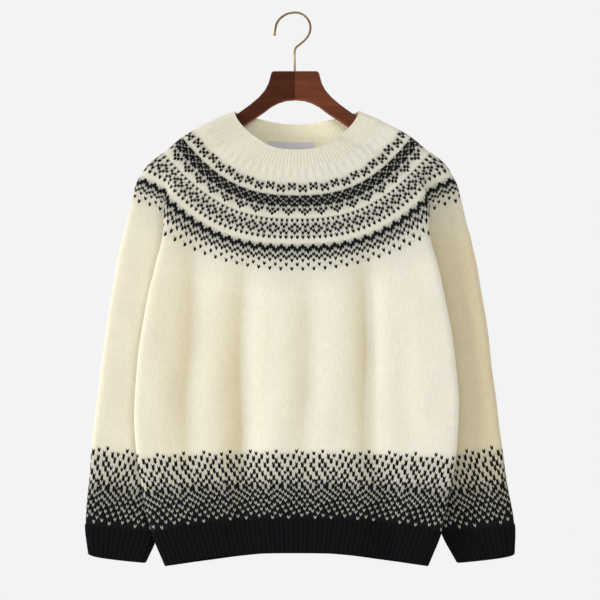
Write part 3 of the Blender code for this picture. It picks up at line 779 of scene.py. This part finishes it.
def addWall(name, rings, turns, proud, courses, material, paintedShade, relief=None):
    # a closed wall of cloth, moved out by proud outside and in by relief inside
    levels, count = rings.shape[:2]
    out = outOf(rings)
    outer = rings + out * proud[:, :, None]
    inner = rings - out * cloth["wall"]
    if relief is not None:
        inner = inner - out * relief[:, :, None]
    vertices = np.vstack([outer.reshape(-1, 3), inner.reshape(-1, 3)])

    half = levels * count
    level, place = np.meshgrid(np.arange(levels - 1), np.arange(count), indexing="ij")
    level, place = level.ravel(), place.ravel()
    ahead = (place + 1) % count
    a, b = level * count + place, level * count + ahead
    outside = np.stack([a, a + count, b + count, b], axis=1)
    inside = np.stack([half + a, half + b, half + b + count, half + a + count], axis=1)
    p = np.arange(count)
    q = (p + 1) % count
    last = (levels - 1) * count
    topRim = np.stack([p, q, half + q, half + p], axis=1)
    bottomRim = np.stack([last + q, last + p, half + last + p, half + last + q], axis=1)

    # what each corner tells the material: how far round it is, its course and its painted shade, which
    # on the inside is a mark for painted light
    above, below = courses[level], courses[level + 1]
    paintedShade = paintedShadeOf(rings, paintedShade)
    a = (turns[level, place], above, paintedShade[level, place])
    b = (turns[level, place + 1], above, paintedShade[level, ahead])
    c = (turns[level + 1, place + 1], below, paintedShade[level + 1, ahead])
    d = (turns[level + 1, place], below, paintedShade[level + 1, place])
    outsideCorners = np.stack([*a, *d, *c, *b], axis=1)
    # the inside's mark, for its painted light
    inward = np.full_like(above, paintedShading["inside"])
    a, b, c, d = [(turn, course, inward) for turn, course, _ in (a, b, c, d)]
    corners = [outsideCorners, np.stack([*a, *b, *c, *d], axis=1)]
    zero = np.zeros(count)
    for rim in (0, -1):
        e = (turns[rim, :-1], zero + courses[rim], zero)
        f = (turns[rim, 1:], zero + courses[rim], zero)
        corners.append(np.stack([*f, *e, *e, *f] if rim else [*e, *f, *f, *e], axis=1))
    quads = np.vstack([outside, inside, topRim, bottomRim])
    return addMesh(name, vertices, quads, material, 60, np.vstack(corners))


def stitchesRound(surface, drop, repeat):
    # a whole number of repeats that fits the round's real length
    if surface is yokeRound:
        around = yokeWales(drop)[1] / cloth["outerWale"]
    else:
        around = lengthOf(surface(drop))
    return repeat * round(around / mm / cloth["stitch"] / repeat)


def bandsOf(surface, top, bands):
    # plain rounds keep the stitches of the band above them
    rows, counts, shifts = [], [], []
    for before, chart, shift in bands:
        middle = top + (len(rows) + before + len(chart) / 2) * cloth["course"]
        count = stitchesRound(surface, middle, len(chart[0]))
        counts += [counts[-1] if counts else count] * before + [count] * len(chart)
        shifts += [shifts[-1] if shifts else shift] * before + [shift] * len(chart)
        rows += ["...."] * before + chart
    after = knitting["rows"] - len(rows)
    below = "DDDD" if rows[-1].count("D") > knitting["manyDark"] else "...."
    return rows + [below] * after, counts + [counts[-1]] * after, shifts + [shifts[-1]] * after


def finished(piece, node):
    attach(piece, "root")
    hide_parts(node)


def finishedCloth(piece, surface, drops, node):
    # the mean length of the rounds at these drops is worked out, and nothing uses it; the piece is
    # attached and its solid hidden
    around = float(np.mean([lengthOf(surface(drop)) for drop in drops]))
    finished(piece, node)


yokeMesh = {
    "around": 600,
    "down": 68,
    "deep": 190,
    "wave": 0.35 * mm,
    "fade": (10, 8),  # the waviness fades this far from the top and the bottom, mm
    "pucker": 0.3 * mm,  # faint puckers where stitches are decreased
    "puckerAt": 4.0,  # their course, and over how many courses they fade
    "puckerFade": 2.2,
    "wales": 0.5,  # how much of the neckband's ribs runs on into the yoke, and over what it fades
    "walesFade": 2.0,
    "veilAt": (0, 48, 62),  # courses at the top, below the chart and at the bottom
    # the even darkening at those courses: the yoke's wool is darker towards its top
    "veil": (0.15, 0.14, 0.0),
    "veilMost": 0.68,
}
bodyMesh = {
    "name": "body",
    "around": 400,
    "down": 106,
    "deep": hemTop - underarm,
    "wave": 0.45 * mm,
    "fade": (10, 10),
    "course": cloth["course"],
    "speckleStart": 578.0,
}
sleeveMesh = {
    "name": "sleeve",
    "around": 120,
    "down": 128,
    "deep": 360,
    "wave": 0.5 * mm,
    "fade": (10, 10),
    "course": 3.0,
    "speckleStart": 587.0,
}
ribs = {
    "perRib": 10,  # points for each rib
    "round": 0.55,  # the smaller, the narrower the grooves between the wales
    "levelStep": 1.4,  # height between rows of points, mm
    "relief": 1.2 * mm,
    "ease": 2.0,  # over how many mm a black rib rises
    "rim": 1.6,  # and rounds off at its lower edge
    "rimShare": 0.55,
    "rimIn": 0.5 * mm,
    "neckRelief": 0.34 * mm,
    "neckInside": 0.8,
    "bead": 0.55 * mm,  # the bound-off edge, how far down it is and how wide, mm
    "beadAt": 0.9,
    "beadHalf": 1.0,
    "groove": 0.35 * mm,  # the groove below it
    "grooveAt": 2.6,
    "grooveWide": 0.6,
}
Rib = namedtuple("Rib", "name node dark surface top bottom number hangsFrom")
ribTable = [Rib(*row) for row in (
    ("neckband", "neckband", False, yokeRound, neckTop, neckBottom, 112, "yoke.knit"),
    ("hem", "hem_rib", True, bodyRound, hemTop, hemBottom, 120, "body.knit"),
    ("cuff.left", "cuff_left", True, leftSleeve, cuffTop, cuffBottom, 30, "sleeve.knit.left"),
    ("cuff.right", "cuff_right", True, rightSleeve, cuffTop, cuffBottom, 30, "sleeve.knit.right"),
)]


def makeYoke():
    m = yokeMesh
    rows, counts, shifts = bandsOf(yokeRound, neckBottom, yokeBands)
    least = np.interp(np.arange(len(rows)), m["veilAt"], m["veil"])
    material = knitFinish("yokeKnit", rows, counts, shifts, False, least, m["veilMost"])
    drops, rings, turns = ringsOf(yokeRound, neckBottom, underarm, m["down"], m["around"])
    courses = (drops - neckBottom) / cloth["course"]
    angle = np.arange(m["around"]) / m["around"] * 2 * math.pi * ribTable[0].number
    fine = np.exp(-((courses / m["walesFade"]) ** 2))[:, None] * np.cos(angle)
    merged = np.exp(-(((courses - m["puckerAt"]) / m["puckerFade"]) ** 2))[:, None] * np.cos(angle / 2)
    wales = fine * ribs["neckRelief"] * m["wales"] + merged * m["pucker"]
    proud = unevenness(rings, drops, m["wave"], m["fade"]) + wales
    piece = addWall("yoke.knit", rings, turns, proud, courses, material, yokePaintedShade(rings))
    finishedCloth(piece, yokeRound, (neckBottom, underarm), "yoke")
    print("yoke", counts[0], "to", counts[-1], "stitches")


def makeTube(mesh, surface, top, bottom, side=""):
    # the body, or the sleeve of one side: plain above, and speckled to black below
    before = knitting["plainBefore"]
    chartTop = mesh["speckleStart"] - before * cloth["course"]
    rows, counts, shifts = bandsOf(surface, chartTop, [(before, speckle, knitting["speckleShift"])])
    dot, node = ("." + side, "_" + side) if side else ("", "")
    material = knitFinish(mesh["name"] + "Knit" + dot, rows, counts, shifts)
    drops, rings, turns = ringsOf(surface, top, bottom, mesh["down"], mesh["around"])
    courses = (drops - mesh["speckleStart"]) / mesh["course"] + before
    proud = unevenness(rings, drops, mesh["wave"], mesh["fade"])
    paintedShade = sleevePaintedShade(rings, side) if side else bodyPaintedShade(rings)
    piece = addWall(mesh["name"] + ".knit" + dot, rings, turns, proud, courses, material, paintedShade)
    at = (top, *cloth["measured"], bottom)
    finishedCloth(piece, surface, at, mesh["name"] + node)
    print(mesh["name"] + node, counts[0], "stitches round")


def makeRib(rib):
    # knit wales stand round between narrow purl grooves
    count = rib.number * ribs["perRib"]
    levels = max(10, round((rib.bottom - rib.top) / ribs["levelStep"]))
    drops, rings, _ = ringsOf(rib.surface, rib.top, rib.bottom, levels, count)
    turns = np.tile(np.arange(count + 1) / count, (levels, 1))
    courses = (drops - rib.top) / cloth["course"]
    charts = [["...."] * 4, [rib.number * 2] * 4, [0.5] * 4]
    material = knitFinish(rib.name + "Knit", *charts, rib.dark, yokeMesh["veil"][0])
    angle = np.arange(count) / count * rib.number * math.pi
    wales = np.tile(np.abs(np.cos(angle)) ** ribs["round"], (levels, 1))
    if rib.dark:
        relief = None
        edge = (np.clip((rib.bottom - drops) / ribs["rim"], 0, 1) ** 0.5)[:, None]
        ease = np.clip((drops - rib.top) / ribs["ease"], 0, 1)[:, None]
        rounded = ribs["rimShare"] + (1 - ribs["rimShare"]) * edge
        proud = (wales * ribs["relief"] * rounded - (1 - edge) * ribs["rimIn"]) * ease
    else:
        proud = wales * ribs["neckRelief"]
        relief = np.roll(proud, ribs["perRib"] // 2, axis=1) * ribs["neckInside"]
        fromBead = np.abs(drops - rib.top - ribs["beadAt"]) / ribs["beadHalf"]
        bead = (np.clip(1 - fromBead, 0, 1) ** 0.5)[:, None]
        fromGroove = (drops - rib.top - ribs["grooveAt"]) / ribs["grooveWide"]
        groove = np.exp(-(fromGroove**2))[:, None]
        proud = proud * (1 - bead) + bead * ribs["bead"] - groove * ribs["groove"]
    piece = addWall(rib.name + ".knit", rings, turns, proud, courses, material, paintedShading["plain"], relief)
    at, deep = (rib.top, rib.bottom), rib.bottom - rib.top
    finishedCloth(piece, rib.surface, at, rib.node)
    print(rib.name, rib.number, "ribs")


hanger = {
    "middleX": 2.8 * mm,
    "board": 13.0,
    "bow": 8.0,  # how far the ends come forward
    "bowSpan": 180.0,
    "halfSeam": 0.01 * mm,
    "round": 4.0,
    "cornerSteps": 8,
    "between": 5,  # sections for each row of the table
    # the top edges get this share of the edges' wear and painted highlight, the lower edges all of it
    "topWearAndHighlight": 0.6,
    "grain": (14, 190, 260),
    "pores": (60, 900, 1400),
    "bands": (5, 40, 75),
}
Arm = namedtuple("Arm", "x zTop zBottom")
armTable = [Arm(*row) for row in (
    (0, -76.0, -114.7),
    (12, -76.0, -115.7),
    (22, -76.0, -118.8),
    (29, -76.1, -122.5),
    (31.5, -78.2, -123.9),
    (33.0, -84.0, -124.9),
    (35.4, -92.2, -126.8),
    (40.0, -101.2, -130.4),
    (48.0, -110.5, -136.0),
    (59.5, -120.3, -143.6),
    (76.0, -132.2, -154.0),
    (97.0, -140.4, -162.0),
    (118.0, -149.2, -170.0),
    (138.0, -159.8, -178.5),
    (156.0, -172.8, -189.5),
    (166.0, -181.5, -195.5),
    (171.0, -187.0, -195.5),
)]


def woodFinish(name, dark, red, wornAndHighlit):
    # stained wood with grain along the arm, lighter at its edges: partly rubbed wear, partly a painted
    # highlight
    finish = surfaceFinish(name, dark, Roughness=0.4)
    finish.set(Coat_Weight=0.02, Coat_Roughness=0.3, Specular_IOR_Level=0.07)
    grain = finish.vary(1.0, 6, hanger["grain"])
    pores = finish.vary(1.0, 3, hanger["pores"])
    bands = finish.vary(1.0, 3, hanger["bands"])
    edge = finish.add("Attribute", {"attribute_name": "wearAndHighlight"}, None, 2)
    # lighter edges: partly wear, partly painted highlight
    rubbedAndHighlit = finish.between(edge * (finish.vary(9, 2) + 0.45), 0.62, 1.0, 0.0, 0.8)
    colour = finish.mix(rubbedAndHighlit, finish.mix(bands * 1.3 - 0.2, dark, red), wornAndHighlit)
    tone = finish.between(grain, 0.35, 0.7, 0.8, 1.1) * finish.between(pores, 0.3, 0.6, 0.86, 1.03)
    finish.set(Base_Color=finish.dim(colour, tone), Roughness=grain * 0.2 + 0.36)
    finish.set(Normal=finish.bump(grain * 0.6 + pores * 0.4, 0.25 * mm, 0.35))
    return finish.material


def armSection(arm, side):
    middleY = -hanger["bow"] * (arm.x / hanger["bowSpan"]) ** 2
    middleZ = (arm.zTop + arm.zBottom) / 2
    halfY = hanger["board"] / 2
    halfZ = (arm.zTop - arm.zBottom) / 2
    soft = min(hanger["round"], halfZ)
    points, wearAndHighlight = [], []
    for corner, (wayY, wayZ) in enumerate(((1, 1), (-1, 1), (-1, -1), (1, -1))):
        for step in range(hanger["cornerSteps"] + 1):
            turn = math.radians(90 * (corner + step / hanger["cornerSteps"]))
            y = middleY + wayY * (halfY - soft) + soft * math.cos(turn)
            z = middleZ + wayZ * (halfZ - soft) + soft * math.sin(turn)
            seam = side * hanger["halfSeam"] if arm.x == 0 else 0
            points.append((side * arm.x * mm + hanger["middleX"] + seam, y * mm, z * mm))
            # lightest in the middle of each rounded edge: wear and painted highlight
            rubbedAndHighlit = math.sin(math.radians(180 * step / hanger["cornerSteps"]))
            wearAndHighlight.append(rubbedAndHighlit * (hanger["topWearAndHighlight"] if wayZ > 0 else 1))
    return points, wearAndHighlight


def armsBetween():
    # straight between the table's rows, so that the wood stays the solids' size
    rows = []
    for a, b in zip(armTable, armTable[1:]):
        for step in range(hanger["between"]):
            t = step / hanger["between"]
            rows.append(Arm(*(p + (q - p) * t for p, q in zip(a, b))))
    return rows + [armTable[-1]]


def makeHangerHalf(word, side, material):
    sections = [armSection(arm, side) for arm in armsBetween()]
    piece = addBar("hanger." + word, [points for points, _ in sections], material, 50, side < 0)
    wornAndHighlit = piece.data.attributes.new("wearAndHighlight", "FLOAT", "POINT")
    wornAndHighlit.data.foreach_set("value", [value for _, values in sections for value in values])
    finished(piece, "hanger_" + word)
    print("hanger", word)


hook = {
    "wire": 1.45,
    "lift": 0.3,
    "between": 8,  # sections for each point of the route
    "sides": 14,
    "plain": (0.36, 0.24, 0.11),
    "brass": (0.46, 0.31, 0.14),
    "aged": (0.12, 0.075, 0.042),
}
hookRoute = [
    (2.2, armTable[0].zTop + hook["lift"]), (2.1, -62.0), (2.0, -51.0), (3.6, -45.3), (8.6, -40.8),
    (15.6, -34.8), (20.9, -27.6), (23.0, -19.3), (21.4, -10.4), (15.4, -2.6), (7.4, 1.3), (-0.4, 1.5),
    (-8.6, -0.4), (-16.4, -5.6), (-21.4, -12.2), (-23.4, -19.6), (-24.3, -26.0),
]
# how far past the wire's end, and how many times as thick as the wire
ballTip = [
    (0.25, 1.02), (0.6, 1.15), (1.1, 1.32), (1.6, 1.4),
    (2.1, 1.35), (2.6, 1.15), (2.95, 0.8), (3.1, 0.6),
]


def curveThrough(route, between):
    points = []
    last = len(route) - 1
    for place in range(last):
        p0, p1 = route[max(place - 1, 0)], route[place]
        p2, p3 = route[place + 1], route[min(place + 2, last)]
        for step in range(between):
            t = step / between
            points.append([
                0.5 * (2 * b + (c - a) * t + (2 * a - 5 * b + 4 * c - d) * t**2
                       + (3 * b - a - 3 * c + d) * t**3)
                for a, b, c, d in zip(p0, p1, p2, p3)
            ])
    return np.array(points + [list(route[-1])])


def makeHook():
    finish = surfaceFinish("agedBrass", hook["plain"], Metallic=1.0, Roughness=0.3)
    spots = finish.vary(150, 2)
    age = finish.between(finish.vary(42, 2) * 0.85 + spots * 0.15, 0.36, 0.62, 0.0, 1.0)
    finish.set(Base_Color=finish.mix(age, hook["brass"], hook["aged"]), Roughness=age * 0.1 + 0.42)
    finish.set(Normal=finish.bump(spots, 0.03 * mm, 0.1))
    line = curveThrough(hookRoute, hook["between"])
    tip, way = line[-1], line[-1] - line[-2]
    way = way / np.linalg.norm(way)
    thick = np.concatenate([np.ones(len(line)), [size for _, size in ballTip]]) * hook["wire"]
    line = np.vstack([line] + [tip + way * far for far, _ in ballTip])
    along = np.gradient(line, axis=0)
    along /= np.linalg.norm(along, axis=1)[:, None]
    sections = []
    for (x, z), (dx, dz), r in zip(line, along, thick):
        ring = []
        for side in range(hook["sides"]):
            turn = 2 * math.pi * side / hook["sides"]
            across, deep = r * math.cos(turn), r * math.sin(turn)
            ring.append(((x - dz * across) * mm, deep * mm, (z + dx * across) * mm))
        sections.append(ring)
    finished(addBar("hook.wire", sections, finish.material, 60), "hook")
    print("hook")


label = {
    "x": -7.3,
    "half": 30.0,
    "top": 203.5,
    "bottom": 222.0,
    "thick": 1.0 * mm,
    "gap": 0.3 * mm,
    "hem": 0.18 * mm,  # the folded ends stand this much further out
    "columns": 41,
    "rows": 15,
    "samples": 2400,  # points round the yoke, and how many to each side are looked at
    "near": 180,
    "plain": (0.72, 0.72, 0.75),
    "pale": (0.80, 0.80, 0.83),
    "grey": (0.60, 0.60, 0.64),
}


def makeLabel():
    finish = surfaceFinish("wovenTape", label["plain"], Roughness=0.7)
    across, _, down = finish.split("XYZ", finish.add("TexCoord", out=3))
    twill = ((across * 5200 + down * 7200).sum("SINE") + 1) * 0.5
    colour = finish.mix(finish.vary(300, 2) * 0.5 + twill * 0.2, label["pale"], label["grey"])
    finish.set(Base_Color=colour, Normal=finish.bump(twill, 0.12 * mm, 0.5))
    columns, rows, middle = label["columns"], label["rows"], label["samples"] // 2
    drops = np.linspace(label["top"] - 1, label["bottom"] + 1, rows)
    rings = np.array([evenly(yokeRound(drop), label["samples"]) for drop in drops])
    near = slice(middle - label["near"], middle + label["near"])
    rings, out = rings[:, near], outOf(rings)[:, near]
    xs = (label["x"] + label["half"] * np.linspace(-1, 1, columns)) * mm + cloth["middleX"]
    front, back = [], []
    for row in range(rows):
        order = np.argsort(rings[row, :, 0])
        sideways = rings[row, order, 0]
        point = np.stack([np.interp(xs, sideways, line) for line in rings[row, order].T], axis=1)
        away = np.stack([np.interp(xs, sideways, line) for line in out[row, order].T], axis=1)
        point = point - away * (cloth["wall"] + label["gap"])
        back.append(point)
        hem = abs(2 * row / (rows - 1) - 1) > 0.8
        front.append(point - away * (label["thick"] - (0 if hem else label["hem"])))
    grid = np.arange(rows * columns).reshape(rows, columns)
    total = rows * columns
    faces = []
    corners = (grid[:-1, :-1], grid[:-1, 1:], grid[1:, 1:], grid[1:, :-1])
    for a, b, c, d in zip(*(corner.ravel() for corner in corners)):
        faces.append((total + a, total + d, total + c, total + b))
        faces.append((a, b, c, d))
    rim = [*grid[0], *grid[1:, -1], *grid[-1, -2::-1], *grid[-2:0:-1, 0]]
    for a, b in zip(rim, rim[1:] + rim[:1]):
        faces.append((a, total + a, total + b, b))
    piece = addMesh("neck.label", np.vstack(back + front), faces, finish.material, 50)
    finished(piece, "neck_label")
    print("label")


studio = {
    "away": 6.6,
    "lens": 300.0,
    "aim": (0.0092, -0.022, -0.379),
    "floor": -1.5,
    "floorHalf": 3.4,
    "world": (0.96, 0.965, 0.97),
    "behind": 0.93,  # the world's brightness behind the sweater, and in front of it
    "before": 0.46,
    "warm": (1.0, 0.965, 0.91),
}
Lamp = namedtuple("Lamp", "name place size power colour")
lamps = [Lamp(*row) for row in (
    ("key", (-4.6, -1.88, 0.1), (1.4, 2.8), 168, (0.99, 0.99, 1.0)),
    ("front", (0.9, -2.4, 1.0), (1.2, 1.2), 21, (0.98, 0.99, 1.0)),
)]


def addLamp(lamp):
    light = bpy.data.lights.new(lamp.name, "AREA")
    light.shape = "RECTANGLE"
    light.size, light.size_y = lamp.size
    light.energy = lamp.power
    light.color = lamp.colour
    way = Vector(studio["aim"]) - Vector(lamp.place)
    made = addObject(lamp.name, light)
    made.location = lamp.place
    made.rotation_euler = way.to_track_quat("-Z", "Y").to_euler()


def makeStudio():
    world = bpy.data.worlds.new("studio")
    sky = Finish(world, "Background", Color=(*studio["world"], 1))
    _, deep, _ = sky.split("XYZ", sky.add("TexCoord"))
    facing = sky.between(deep, -0.5, 0.2, 0.0, 1.0)
    sky.set(Color=sky.mix(facing, studio["warm"], studio["world"]))
    sky.set(Strength=sky.between(deep, -0.7, 0.5, studio["before"], studio["behind"]))
    bpy.context.scene.world = world
    bpy.context.scene.view_settings.view_transform = "Standard"
    finish = surfaceFinish("paleFloor", (0.82, 0.82, 0.82), Roughness=0.9)
    finish.set(Normal=finish.bump(finish.vary(40, 3), 0.2 * mm, 0.1))
    half, z = studio["floorHalf"], studio["floor"]
    corners = [(-half, -half, z), (half, -half, z), (half, half, z), (-half, half, z)]
    addMesh("floor", corners, [(0, 1, 2, 3)], finish.material)
    for lamp in lamps:
        addLamp(lamp)
    camera = bpy.data.cameras.new("camera")
    camera.lens = studio["lens"]
    camera.sensor_width = 36
    camera.clip_end = 50
    seen = addObject("camera", camera)
    x, y, z = studio["aim"]
    seen.location = (x, y - studio["away"], z)
    seen.rotation_euler = (math.pi / 2, 0, 0)
    bpy.context.scene.camera = seen
    print("studio")


makeStudio()
# one wood in two copies: the left half's darker copy is painted shade, the right half's brighter copy
# painted light
shadedWood = woodFinish("woodDark", (0.052, 0.014, 0.006), (0.082, 0.022, 0.009), (0.32, 0.09, 0.034))
litWood = woodFinish("woodLit", (0.105, 0.029, 0.013), (0.19, 0.054, 0.024), (0.42, 0.13, 0.055))
makeHangerHalf("left", -1, shadedWood)
makeHangerHalf("right", 1, litWood)
makeHook()
makeYoke()
makeTube(bodyMesh, bodyRound, underarm, hemTop)
makeTube(sleeveMesh, leftSleeve, sleeveTop, cuffTop, "left")
makeTube(sleeveMesh, rightSleeve, sleeveTop, cuffTop, "right")
for rib in ribTable:
    makeRib(rib)
makeLabel()
